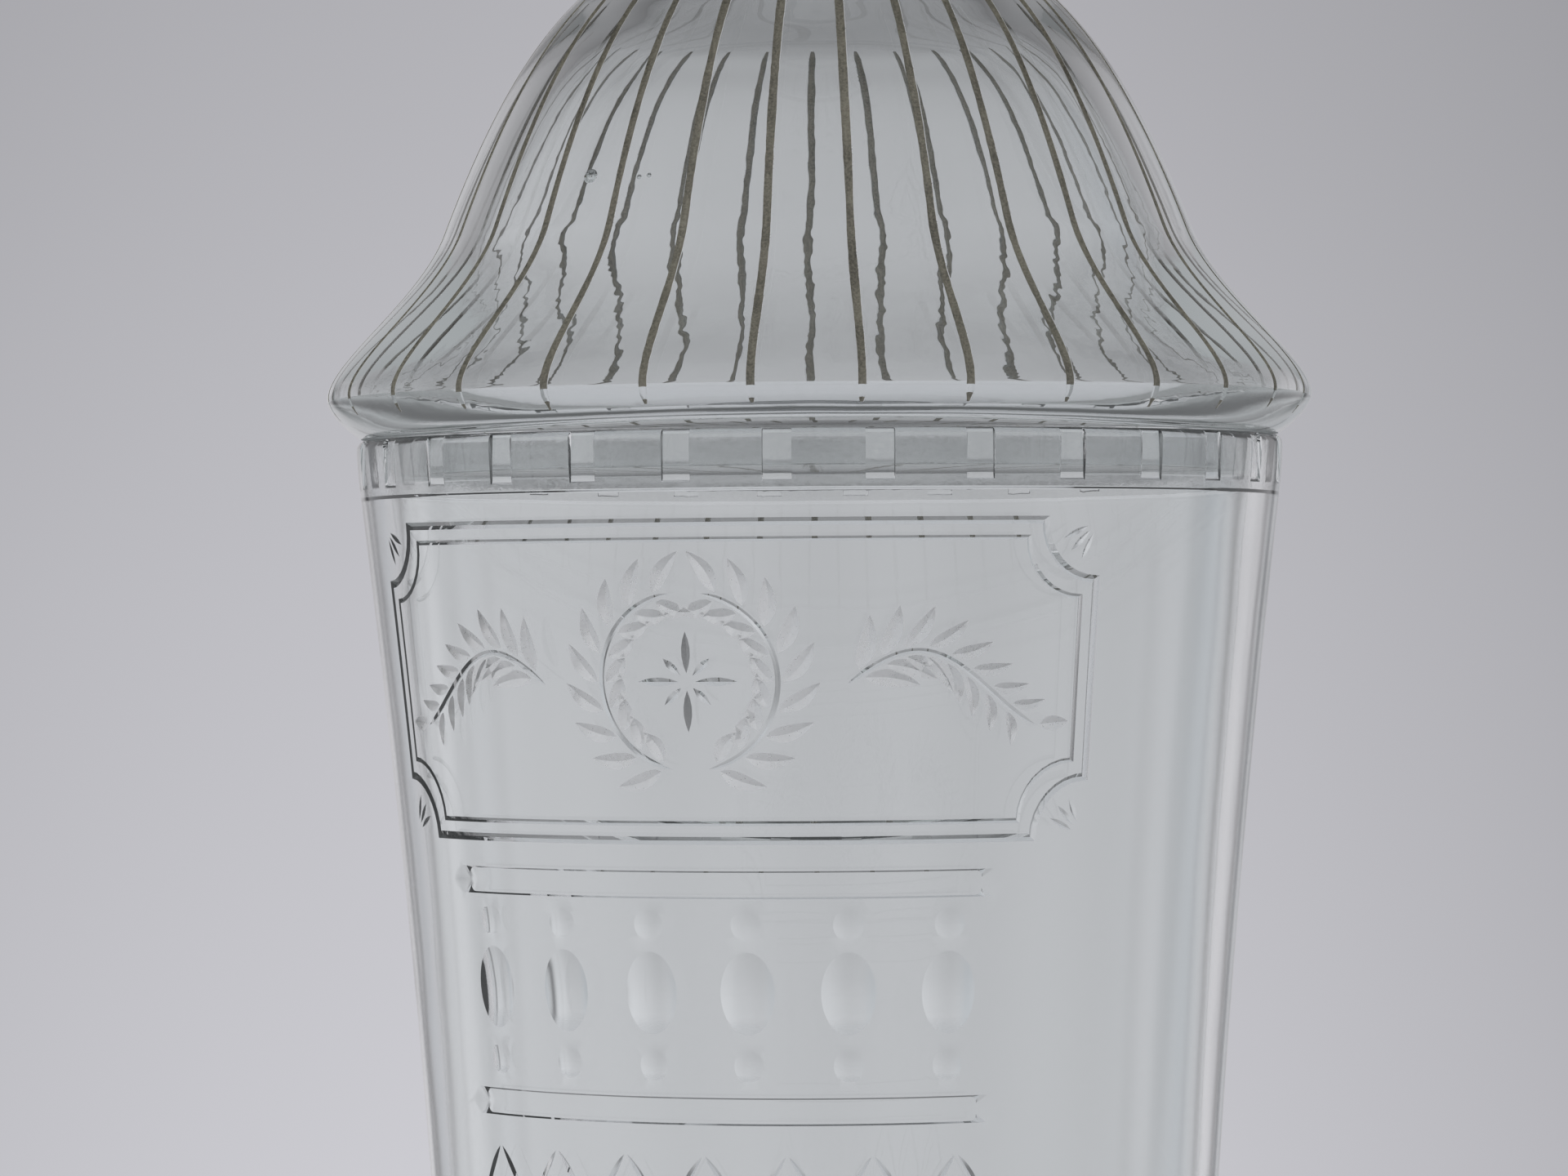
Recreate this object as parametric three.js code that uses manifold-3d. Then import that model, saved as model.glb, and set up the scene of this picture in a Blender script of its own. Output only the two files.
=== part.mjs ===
// Covered vase in clear cut glass: a flared body with a notched rim, and a bell-shaped cover
// with cut flutes, an inner flange and a solid ball knop. Millimetres, +Z up, origin at the
// centre of the base, the front towards -Y.
import * as THREE from 'three';
import { mergeVertices } from 'three/addons/utils/BufferGeometryUtils.js';
import Module from 'manifold-3d';

const wasm = await Module();
wasm.setup();

// Body of the vase
const bodyHeight = 215;
const rimRadius = 75;
const baseRadius = 59.5;
const flarePower = 1.72;
const bodyWall = 3.2;
const rimWall = 4.6;
const rimSwell = 150;
const floorThickness = 14;
const floorFillet = 18;
const heelRadius = 5;
const pontilRadius = 15;
const pontilDepth = 1.2;
const lipRadius = 1.4;
const innerLipRadius = 0.8;

// Cuts round the rim, one to each flute of the cover
const pitchCount = 30;
const notchWidth = 4.6;
const notchDepth = 1;
const notchLength = 7.5;
const cutTurn = -5.3;

// Cover
const seatInset = 1.2;
const bulgeOverhang = 4.2;
const bulgeHeight = 6.5;
const waistInset = 14.5;
const waistHeight = 32.4;
const waistLean = 21;
const crownHeight = 86.3;
const crownLean = 20;
const coverWall = 3;
const waistSwell = 2.4;
const waistSwellStart = 0.1;
const crownSwell = 15;
const crownSwellPower = 3;
const shelfHeight = 5.5;
const shelfEdge = 3;
const shelfRound = 0.6;
const flangeDepth = 7.9;
const flangeWall = 3.4;
const flangeEdge = 1.1;
const coverTurn = -2.4;

// How far each curve of the cover's ogee holds its direction
const seatFlare = 2;
const seatLift = 1.2;
const bulgeDrop = 2.5;
const bulgeRise = 5.5;
const waistSweep = 11;
const domeSweep = 41.5;
const crownSweep = 26;

// Flutes of the cover
const fluteWidth = 1.6;
const fluteDepth = 0.7;
const fluteTip = 3.4;
const fluteStartRadius = 24;
const fluteRunOut = 7;

// Knop
const knopFootRadius = 9;
const knopCollarRadius = 12.5;
const knopCollarThickness = 4;
const knopWaistRadius = 6.5;
const knopWaistHeight = 3;
const ballRadius = 15.5;

// Clearances
const seatGap = 0.3;
const joinGap = 0.3;
const flangeClearance = 0.9;

// Fineness of the facets: columns round a piece, and steps along each stretch of an outline
const columns = 2 * pitchCount;
const knopColumns = 30;
const bodySteps = { hollow: 4, heel: 4, flare: 8, lip: 3, innerLip: 2, swell: 7, inside: 2, floor: 5 };
const coverSteps = { flange: 2, under: 3, bulge: 7, dome: 8, shelf: 4, innerBulge: 5, innerDome: 7 };
const knopSteps = { collar: 4, ball: 11 };
const notchSteps = 3;

// How far cutters reach past what they cut, and the least share of a flute at its tips
const cutMargin = 1;
const leastFlute = 0.12;

// Glass colours, clear to the eye
const bodyGlass = { color: 0xdfe5e6, roughness: 0.04 };
const coverGlass = { color: 0xd9e0e2, roughness: 0.05 };
const knopGlass = { color: 0xdce3e5, roughness: 0.04 };

const pitch = (2 * Math.PI) / pitchCount;
const radians = (degrees) => (degrees * Math.PI) / 180;
const point = (radius, height) => new THREE.Vector2(radius, height);

// Outer radius of the body at a height, and the thickness of its wall there
function outerRadius(height) {
  return baseRadius + (rimRadius - baseRadius) * (height / bodyHeight) ** flarePower;
}

function wallAt(height) {
  const rise = THREE.MathUtils.smoothstep(height, bodyHeight - rimSwell, bodyHeight);
  return bodyWall + (rimWall - bodyWall) * rise;
}

const innerRadius = (height) => outerRadius(height) - wallAt(height);

// Points of an arc about a centre, angles from the radius axis
function arc(centre, radius, from, to, steps) {
  const points = [];
  for (let i = 0; i <= steps; i += 1) {
    const angle = radians(from + ((to - from) * i) / steps);
    points.push(point(centre.x + radius * Math.cos(angle), centre.y + radius * Math.sin(angle)));
  }
  return points;
}

// Points of a wall given by its radius at each height, ends left out
function wall(radiusAt, from, to, steps) {
  const points = [];
  for (let i = 1; i < steps; i += 1) {
    const height = from + ((to - from) * i) / steps;
    points.push(point(radiusAt(height), height));
  }
  return points;
}

// Closed geometry with shared vertices and no triangle of zero size
function closed(geometry) {
  geometry.deleteAttribute('normal');
  geometry.deleteAttribute('uv');
  const merged = mergeVertices(geometry, 1e-4);
  const index = merged.index.array;
  const kept = [];
  for (let i = 0; i < index.length; i += 3) {
    const [a, b, c] = [index[i], index[i + 1], index[i + 2]];
    if (a !== b && b !== c && c !== a) kept.push(a, b, c);
  }
  merged.setIndex(kept);
  return merged;
}

function revolve(outline, segments) {
  const geometry = new THREE.LatheGeometry(outline, segments);
  geometry.rotateX(Math.PI / 2);
  return closed(geometry);
}

function solid(geometry) {
  const mesh = new wasm.Mesh({
    numProp: 3,
    vertProperties: new Float32Array(geometry.attributes.position.array),
    triVerts: new Uint32Array(geometry.index.array),
  });
  return new wasm.Manifold(mesh);
}

function geometryOf(manifold) {
  const mesh = manifold.getMesh();
  const geometry = new THREE.BufferGeometry();
  geometry.setAttribute('position', new THREE.BufferAttribute(mesh.vertProperties, 3));
  geometry.setIndex(new THREE.BufferAttribute(mesh.triVerts, 1));
  return geometry;
}

// The body as one revolved outline: polished hollow under the base, resting ring, heel,
// flare, rounded lip, inner wall and rounded floor
function bodyOutline() {
  const hollowRadius = (pontilRadius ** 2 + pontilDepth ** 2) / (2 * pontilDepth);
  const hollow = [];
  for (let i = 0; i < bodySteps.hollow; i += 1) {
    const radius = (pontilRadius * i) / bodySteps.hollow;
    const rise = Math.sqrt(hollowRadius ** 2 - radius ** 2) - hollowRadius + pontilDepth;
    hollow.push(point(radius, rise));
  }
  const heelCentre = point(outerRadius(heelRadius) - heelRadius, heelRadius);
  const lipFoot = bodyHeight - lipRadius;
  const lipCentre = point(outerRadius(lipFoot) - lipRadius, lipFoot);
  const innerFoot = bodyHeight - innerLipRadius;
  const innerCentre = point(innerRadius(innerFoot) + innerLipRadius, innerFoot);
  const filletTop = floorThickness + floorFillet;
  const filletCentre = point(innerRadius(filletTop) - floorFillet, filletTop);
  return [
    ...hollow,
    point(pontilRadius, 0),
    ...arc(heelCentre, heelRadius, -90, 0, bodySteps.heel),
    ...wall(outerRadius, heelRadius, lipFoot, bodySteps.flare),
    ...arc(lipCentre, lipRadius, 0, 90, bodySteps.lip),
    ...arc(innerCentre, innerLipRadius, 90, 180, bodySteps.innerLip),
    ...wall(innerRadius, innerFoot, bodyHeight - rimSwell, bodySteps.swell),
    ...wall(innerRadius, bodyHeight - rimSwell, filletTop, bodySteps.inside),
    ...arc(filletCentre, floorFillet, 0, -90, bodySteps.floor),
    point(0, floorThickness),
  ];
}

// One rim notch: a wheel cut with a flat floor and a round run-out at its lower end
function notchCutter() {
  const foot = bodyHeight - notchLength;
  const floorTop = outerRadius(bodyHeight) - notchDepth;
  const floorFoot = outerRadius(foot) - notchDepth;
  const clear = outerRadius(bodyHeight) + cutMargin;
  const shape = new THREE.Shape();
  shape.moveTo(floorTop, bodyHeight + cutMargin);
  shape.lineTo(floorFoot, foot + notchDepth);
  shape.absarc(floorFoot + notchDepth, foot + notchDepth, notchDepth, Math.PI, 1.5 * Math.PI);
  shape.lineTo(clear, foot);
  shape.lineTo(clear, bodyHeight + cutMargin);
  shape.closePath();
  const settings = { depth: notchWidth, bevelEnabled: false, curveSegments: notchSteps };
  const geometry = new THREE.ExtrudeGeometry(shape, settings);
  geometry.translate(0, 0, -notchWidth / 2);
  const front = new THREE.Matrix4().makeBasis(
    new THREE.Vector3(0, -1, 0),
    new THREE.Vector3(0, 0, 1),
    new THREE.Vector3(-1, 0, 0),
  );
  geometry.applyMatrix4(front);
  return closed(geometry);
}

function bodyGeometry() {
  let body = solid(revolve(bodyOutline(), columns));
  const cutter = solid(notchCutter());
  for (let i = 0; i < pitchCount; i += 1) {
    body = body.subtract(cutter.rotate([0, 0, (360 * i) / pitchCount]));
  }
  return geometryOf(body);
}

// Sizes of the cover that follow from the rim it sits on
const mouthRadius = innerRadius(bodyHeight - innerLipRadius);
const flangeRadius = mouthRadius - flangeClearance;
const flangeInner = flangeRadius - flangeWall;
const seatRadius = rimRadius - seatInset;
const bulge = point(rimRadius + bulgeOverhang, bulgeHeight);
const waist = point(rimRadius - waistInset, waistHeight);
const crown = point(knopFootRadius, crownHeight);

// Steps of a length that lean in from upright, and that rise from level going in
function lean(degrees, length) {
  return point(-length * Math.sin(radians(degrees)), length * Math.cos(radians(degrees)));
}

function settle(degrees, length) {
  return point(-length * Math.cos(radians(degrees)), length * Math.sin(radians(degrees)));
}

// The ogee of the cover: out under the bulge, in to the waist and over the dome to the knop
const underBulge = new THREE.CubicBezierCurve(
  point(seatRadius, 0),
  point(seatRadius + seatFlare, seatLift),
  point(bulge.x, bulge.y - bulgeDrop),
  bulge,
);
const overBulge = new THREE.CubicBezierCurve(
  bulge,
  point(bulge.x, bulge.y + bulgeRise),
  waist.clone().sub(lean(waistLean, waistSweep)),
  waist,
);
const overDome = new THREE.CubicBezierCurve(
  waist,
  waist.clone().add(lean(waistLean, domeSweep)),
  crown.clone().sub(settle(crownLean, crownSweep)),
  crown,
);

// Points of a curve, each with its outward normal
function withNormals(curve, steps) {
  const stations = [];
  for (let i = 0; i <= steps; i += 1) {
    const place = curve.getPoint(i / steps);
    const along = curve.getTangent(i / steps);
    stations.push({ place, normal: point(along.y, -along.x) });
  }
  return stations;
}

// Depth of the flutes at each station: nothing at the pointed tips, full depth between them
function withDepths(stations) {
  let travel = 0;
  const travels = stations.map((station, i) => {
    if (i > 0) travel += station.place.distanceTo(stations[i - 1].place);
    return travel;
  });
  const first = stations.findIndex((station) => station.place.y >= fluteTip);
  const last = stations.findLastIndex((station) => station.place.x >= fluteStartRadius);
  return stations.map((station, i) => {
    const room = Math.min(travels[i] - travels[first], travels[last] - travels[i]);
    const share = THREE.MathUtils.clamp(room / fluteRunOut, 0, 1);
    return { ...station, depth: fluteDepth * Math.sqrt(share) };
  });
}

// A revolved solid whose stations carry V cuts: four points to each pitch on every ring
function flutedSolid(stations) {
  const positions = [];
  const turn = (radius, height, angle) => {
    positions.push(radius * Math.sin(angle), -radius * Math.cos(angle), height);
  };
  for (const { place, normal, depth } of stations) {
    const share = Math.max(leastFlute, depth / fluteDepth);
    const half = (share * fluteWidth) / 2 / place.x;
    for (let k = 0; k < pitchCount; k += 1) {
      turn(place.x - normal.x * depth, place.y - normal.y * depth, k * pitch);
      turn(place.x, place.y, k * pitch + half);
      turn(place.x, place.y, (k + 0.5) * pitch);
      turn(place.x, place.y, (k + 1) * pitch - half);
    }
  }
  const ring = 4 * pitchCount;
  const index = [];
  for (let i = 0; i + 1 < stations.length; i += 1) {
    for (let j = 0; j < ring; j += 1) {
      const a = i * ring + j;
      const b = i * ring + ((j + 1) % ring);
      index.push(a, b, b + ring, a, b + ring, a + ring);
    }
  }
  const bottom = positions.length / 3;
  turn(0, stations[0].place.y, 0);
  turn(0, stations.at(-1).place.y, 0);
  const top = (stations.length - 1) * ring;
  for (let j = 0; j < ring; j += 1) {
    const next = (j + 1) % ring;
    index.push(bottom, next, j, bottom + 1, top + j, top + next);
  }
  const geometry = new THREE.BufferGeometry();
  geometry.setAttribute('position', new THREE.Float32BufferAttribute(positions, 3));
  geometry.setIndex(index);
  return geometry;
}

function coverGeometry() {
  const edge = point(flangeRadius - flangeEdge, flangeEdge - flangeDepth);
  const flange = arc(edge, flangeEdge, -90, 0, coverSteps.flange);
  const plain = [...flange, point(flangeRadius, 0)];
  const ogee = [
    ...withNormals(underBulge, coverSteps.under),
    ...withNormals(overBulge, coverSteps.bulge).slice(1),
    ...withNormals(overDome, coverSteps.dome).slice(1),
  ];
  const stations = [
    ...plain.map((place) => ({ place, normal: point(1, 0), depth: 0 })),
    ...withDepths(ogee),
  ];
  const outside = solid(flutedSolid(stations));
  return geometryOf(outside.subtract(solid(revolve(hollowOutline(), columns))));
}

// Thickness of the blown cover at a share of the way from bulge to waist, and from waist to crown
function bulgeWall(share) {
  return coverWall + waistSwell * THREE.MathUtils.smoothstep(share, waistSwellStart, 1);
}

function domeWall(share) {
  return coverWall + waistSwell + crownSwell * share ** crownSwellPower;
}

// Points inside a curve of the ogee, at the thickness there, the first left out
function insideOf(curve, steps, thickness) {
  const stations = withNormals(curve, steps).slice(1);
  return stations.map(({ place, normal }, i) =>
    place.clone().addScaledVector(normal, -thickness((i + 1) / steps)));
}

// The hollow of the cover: a softened mouth, the flange's bore, a flat shelf inside the bulge
// and a dome whose wall thickens to a heavy crown
function hollowOutline() {
  const shelf = new THREE.CubicBezierCurve(
    point(flangeInner, shelfHeight - shelfRound),
    point(flangeInner, shelfHeight),
    point(bulge.x - coverWall - shelfEdge, shelfHeight),
    point(bulge.x - coverWall, bulge.y),
  );
  const mouthCentre = point(flangeInner + flangeEdge, flangeEdge - flangeDepth);
  const mouth = arc(mouthCentre, flangeEdge, 270, 180, coverSteps.flange);
  const below = -flangeDepth - cutMargin;
  const dome = [
    ...insideOf(overBulge, coverSteps.innerBulge, bulgeWall),
    ...insideOf(overDome, coverSteps.innerDome, domeWall),
  ];
  return [
    point(0, below),
    point(flangeInner + flangeEdge, below),
    ...mouth,
    ...shelf.getPoints(coverSteps.shelf),
    ...dome,
    point(0, dome.at(-1).y),
  ];
}

// The knop in two gathers: a flattened collar on the crown and a solid ball on its short waist
function collarOutline() {
  const half = knopCollarThickness / 2;
  return [
    point(0, 0),
    point(knopFootRadius, 0),
    ...arc(point(knopCollarRadius - half, half), half, -90, 90, knopSteps.collar),
    point(knopWaistRadius, knopCollarThickness),
    point(0, knopCollarThickness),
  ];
}

function ballOutline() {
  const seat = Math.asin(knopWaistRadius / ballRadius);
  const centre = knopWaistHeight + ballRadius * Math.cos(seat);
  const from = THREE.MathUtils.radToDeg(seat) - 90;
  return [
    point(0, 0),
    point(knopWaistRadius, 0),
    ...arc(point(0, centre), ballRadius, from, 90, knopSteps.ball),
  ];
}

function piece(name, geometry, finish) {
  const mesh = new THREE.Mesh(geometry, new THREE.MeshStandardMaterial({ ...finish, metalness: 0 }));
  mesh.name = name;
  return mesh;
}

// The whole vase is turned so that its first cut stands off the front by cutTurn, and the
// loose cover lies turned by coverTurn from the notches under it
const vase = new THREE.Group();
vase.rotation.z = radians(cutTurn);
vase.add(piece('vase_body', bodyGeometry(), bodyGlass));

const cover = new THREE.Group();
cover.position.z = bodyHeight + seatGap;
cover.rotation.z = radians(coverTurn);
cover.add(piece('cover_dome', coverGeometry(), coverGlass));

const knop = new THREE.Group();
knop.position.z = crownHeight + joinGap;
const knopCollar = piece('knop_collar', revolve(collarOutline(), knopColumns), knopGlass);
const knopBall = piece('knop_ball', revolve(ballOutline(), knopColumns), knopGlass);
knopBall.position.z = knopCollarThickness + joinGap;
knop.add(knopCollar, knopBall);
cover.add(knop);
vase.add(cover);

export default vase;
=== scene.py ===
import math

import bmesh
import bpy
import numpy as np
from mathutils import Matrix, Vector, kdtree, noise
from mathutils.geometry import delaunay_2d_cdt


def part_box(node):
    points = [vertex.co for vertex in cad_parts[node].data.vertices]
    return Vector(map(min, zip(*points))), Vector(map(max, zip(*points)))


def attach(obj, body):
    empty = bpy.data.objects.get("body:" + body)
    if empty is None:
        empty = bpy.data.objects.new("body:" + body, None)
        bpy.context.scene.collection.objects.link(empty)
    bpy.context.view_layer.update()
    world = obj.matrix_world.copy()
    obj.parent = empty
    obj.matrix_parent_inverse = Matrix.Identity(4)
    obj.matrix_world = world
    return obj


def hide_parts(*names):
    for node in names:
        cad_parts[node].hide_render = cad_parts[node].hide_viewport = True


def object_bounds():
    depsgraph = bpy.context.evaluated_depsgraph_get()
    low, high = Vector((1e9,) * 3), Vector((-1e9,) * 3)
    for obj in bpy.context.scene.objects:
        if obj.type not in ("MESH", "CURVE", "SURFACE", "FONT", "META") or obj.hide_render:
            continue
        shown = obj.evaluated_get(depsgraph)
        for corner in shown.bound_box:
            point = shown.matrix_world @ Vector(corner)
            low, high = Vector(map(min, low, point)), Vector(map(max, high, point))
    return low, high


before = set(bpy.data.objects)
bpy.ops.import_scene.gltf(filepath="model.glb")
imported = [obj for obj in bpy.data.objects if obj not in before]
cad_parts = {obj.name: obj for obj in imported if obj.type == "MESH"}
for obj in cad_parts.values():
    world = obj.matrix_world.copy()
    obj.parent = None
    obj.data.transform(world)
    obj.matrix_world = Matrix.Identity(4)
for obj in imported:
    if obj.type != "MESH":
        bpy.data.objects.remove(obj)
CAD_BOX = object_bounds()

bl_info = {
    "name": "Covered vase",
    "version": (1, 0, 0),
    "blender": (4, 5, 0),
    "location": "3D View > Sidebar > Covered vase",
    "description": "A covered vase in clear cut glass, with an engraved front and a fluted cover",
    "category": "Object",
}

MM = 0.001
TURN = 2 * math.pi
BODY_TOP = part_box("vase_body")[1].z
SEAT_PLANE = BODY_TOP + 0.0003
OVERALL_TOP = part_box("knop_ball")[1].z

# The finishes on both pieces, and their materials in the same order
CLEAR, MATT, FLUTE, GROUND, FITTED, BLOWN = range(6)
MATERIALS = ("polished_glass", "matt_engraving", "flute_glass", "ground_glass", "fitted_glass", "blown_glass")
# Edges that turn more sharply than this are not shaded smooth
SHARP_ANGLE = math.radians(14)
# Lit panels in a full turn of the room
PANELS_ROUND = 8.0
GLASS_INDEX = 1.52
# Light thrown back in the glass more often than this comes out as a painted glow in the room's mean tone
THROWN_BACK = 3.5
# Bubbles left in the cover's wall: centre and radius in millimetres
SEED_BUBBLES = (((-34.5, -42.9, 254.2), 1.2), ((-27.2, -48.6, 253.8), 0.4), ((-25.7, -49.3, 254.0), 0.4))


# Settings

def size_prop(name, description, default, least):
    return bpy.props.FloatProperty(
        name=name, description=description, default=default, min=least, unit="LENGTH")


def angle_prop(name, description, degrees):
    return bpy.props.FloatProperty(
        name=name, description=description, default=math.radians(degrees), subtype="ANGLE")


def colour_prop(name, description, default):
    return bpy.props.FloatVectorProperty(
        name=name, description=description, default=default, min=0, max=1, subtype="COLOR")


class VaseSizes(bpy.types.PropertyGroup):
    """Sizes of the vase body"""

    height: size_prop("Height", "From the table to the ground rim", BODY_TOP, 0.05)
    rim_radius: size_prop("Rim radius", "Outer radius at the rim, before the lip is rounded", 0.075, 0.02)
    base_radius: size_prop("Base radius", "Outer radius at the foot of the flare", 0.0595, 0.02)
    flare_power: bpy.props.FloatProperty(
        name="Flare", description="How late the wall leans out on its way up", default=1.72, min=1)
    wall: size_prop("Wall", "Thickness of the wall below the rim", 0.0032, 0.001)
    rim_wall: size_prop("Rim wall", "Thickness of the wall at the rim", 0.0046, 0.001)
    lip: size_prop("Lip", "Radius of the rounded outer corner of the rim", 0.0014, 0.0002)
    notches: bpy.props.IntProperty(
        name="Notches", description="Cuts round the rim, one to each flute of the cover",
        default=30, min=3)
    notch_width: size_prop("Notch width", "Width of a rim notch at the surface", 0.0045, 0.001)
    notch_depth: size_prop("Notch depth", "How deep a rim notch is cut", 0.0009, 0.0002)
    notch_length: size_prop("Notch length", "How far a rim notch runs down from the rim", 0.0079, 0.002)
    notch_turn: angle_prop("Notch turn", "Where the first notch stands, from the front", -5.3)


class CoverSizes(bpy.types.PropertyGroup):
    """Sizes of the cover"""

    wall: size_prop("Wall", "Thickness of the blown cover at its bulge", 0.003, 0.001)
    flute_width: size_prop("Flute width", "Width of a flute at the surface", 0.00128, 0.0003)
    flute_depth: size_prop("Flute depth", "How deep a flute is cut", 0.00028, 0.0001)
    flute_tip: size_prop("Flute tip", "Height of the flutes' lower tips above the seat", 0.0034, 0.001)
    flute_turn: angle_prop("Flute turn", "Where the first flute stands, from the front", -7.7)
    flute_drift: angle_prop("Flute drift", "How far the hand-set flutes have crept by the back", 3.4)
    flatness: bpy.props.FloatProperty(
        name="Flatness", description="How flat the lands between the flutes are, from round to flat",
        default=0.03, min=0, max=1, subtype="FACTOR")
    ripple: size_prop("Ripple", "How uneven the blown inner surface is", 0.00007, 0)
    ball_radius: size_prop("Ball radius", "Radius of the knop's ball", 0.0155, 0.005)


class EngravingSizes(bpy.types.PropertyGroup):
    """Sizes of the engraved front"""

    centre: angle_prop("Centre", "Middle of the engraving, from the front", -17)
    line_width: size_prop("Line width", "Width of the ruled border lines", 0.0012, 0.0003)
    line_depth: size_prop("Line depth", "Depth of the ruled border lines", 0.0006, 0.0001)
    leaf_depth: size_prop("Leaf depth", "Depth of the matt leaves at their ribs", 0.0005, 0.0001)
    oval_depth: size_prop("Oval depth", "Depth of the polished ovals", 0.0009, 0.0001)
    bead_depth: size_prop("Bead depth", "Depth of the small polished rounds", 0.00032, 0.0001)


class GlassColours(bpy.types.PropertyGroup):
    """Colours of the glass and its cuts"""

    clear: colour_prop("Clear glass", "Tint of the polished glass", (0.955, 0.975, 0.975))
    matt: colour_prop("Matt engraving", "Tint of the unpolished engraving", (0.93, 0.935, 0.94))
    # The flute tint is a grey-brown residue, darkened further as painted shade of the cut grooves
    flute: colour_prop("Flutes", "Tint of the flutes, grey brown from old polishing", (0.153, 0.141, 0.105))
    ground: colour_prop("Ground seat", "Tint of the ground rim and seat", (0.55, 0.57, 0.58))


class StageSettings(bpy.types.PropertyGroup):
    """Camera, floor and light"""

    eye: bpy.props.FloatVectorProperty(
        name="Eye", description="Where the camera stands",
        default=(-0.0059, -0.988, 0.191), subtype="TRANSLATION", unit="LENGTH")
    roll: angle_prop("Roll", "How far the camera is tilted to its side", 0.43)
    lens: bpy.props.FloatProperty(
        name="Lens", description="Focal length in millimetres on a 36 mm sensor",
        default=140.6, min=10)
    floor_radius: size_prop("Floor radius", "Radius of the round floor", 0.85, 0.3)
    floor_colour: colour_prop("Floor colour", "Colour of the pale floor", (0.80, 0.79, 0.82))
    backdrop: colour_prop(
        "Backdrop", "Colour of the lit backdrop straight behind the vase", (0.605, 0.602, 0.640))
    room: colour_prop("Room", "Colour of the pale room that the glass gathers", (0.525, 0.518, 0.536))
    shade: colour_prop(
        "Shade", "Colour of the duller strip beside each lit panel of the room", (0.29, 0.33, 0.37))


class CoveredVaseSettings(bpy.types.PropertyGroup):
    """Everything that the panel shows"""

    vase: bpy.props.PointerProperty(type=VaseSizes)
    cover: bpy.props.PointerProperty(type=CoverSizes)
    engraving: bpy.props.PointerProperty(type=EngravingSizes)
    colours: bpy.props.PointerProperty(type=GlassColours)
    stage: bpy.props.PointerProperty(type=StageSettings)


def settings():
    return bpy.context.scene.covered_vase


# Outlines

def mm(length):
    return length / MM


def smoothstep(low, high, value):
    share = np.clip((value - low) / (high - low), 0, 1)
    return share * share * (3 - 2 * share)


def arc(centre, radius, start, end, steps):
    """Points of an arc, angles in degrees from the radius axis, both ends included"""
    angles = np.radians(np.linspace(start, end, steps + 1))
    return np.column_stack([centre[0] + radius * np.cos(angles), centre[1] + radius * np.sin(angles)])


def bezier(corners, steps):
    """Points of a cubic Bezier curve, and the unit normals to its right"""
    a, b, c, d = [np.asarray(corner, float) for corner in corners]
    t = np.linspace(0, 1, steps + 1)[:, None]
    points = (1 - t) ** 3 * a + 3 * (1 - t) ** 2 * t * b + 3 * (1 - t) * t ** 2 * c + t ** 3 * d
    slopes = (1 - t) ** 2 * (b - a) + 2 * (1 - t) * t * (c - b) + t ** 2 * (d - c)
    slopes /= np.linalg.norm(slopes, axis=1)[:, None]
    return points, np.column_stack([slopes[:, 1], -slopes[:, 0]])


def on_round(radius, angle, height):
    """A point at a radius from the axis; an angle runs from the front towards +X"""
    return radius * math.sin(angle), -radius * math.cos(angle), height


def travel_along(points):
    """How far along a path each of its points lies"""
    return np.concatenate([[0], np.cumsum(np.linalg.norm(np.diff(points, axis=0), axis=1))])


class BodyForm:
    """The turned form of the body, in millimetres"""

    swell = 150.0
    floor = 14.0
    fillet = 18.0
    heel = 5.0
    pontil_radius = 15.0
    pontil_depth = 1.2
    inner_lip = 0.8
    ease_height = 8.0
    ease_radius = 60.0
    fitted_height = 8.6
    fitted_step = 0.25
    land_columns = 9
    inner_waves = ((0.03, 38), (0.008, 17))

    def __init__(self, sizes):
        self.height = mm(sizes.height)
        self.rim = mm(sizes.rim_radius)
        self.base = mm(sizes.base_radius)
        self.power = sizes.flare_power
        self.thin = mm(sizes.wall)
        self.thick = mm(sizes.rim_wall)
        self.lip = mm(sizes.lip)

    def flare(self, z):
        return self.base + (self.rim - self.base) * (np.maximum(z, 0) / self.height) ** self.power

    def outer(self, z):
        """The flare, eased in over the last stretch below the rim"""
        return self.flare(z) - np.maximum(z - self.height + self.ease_height, 0) ** 2 / (2 * self.ease_radius)

    def wall(self, z):
        rise = smoothstep(self.height - self.swell, self.height, z)
        return self.thin + (self.thick - self.thin) * rise

    def inner(self, z):
        return self.flare(z) - self.wall(z)

    def step(self, z):
        """How far the wall stands in below the part of the mouth that was ground to fit the cover"""
        below = self.height - self.fitted_height - z
        return self.fitted_step * smoothstep(0, 0.5, below) * (1 - smoothstep(4, 26, below))


# Surfaces

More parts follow.
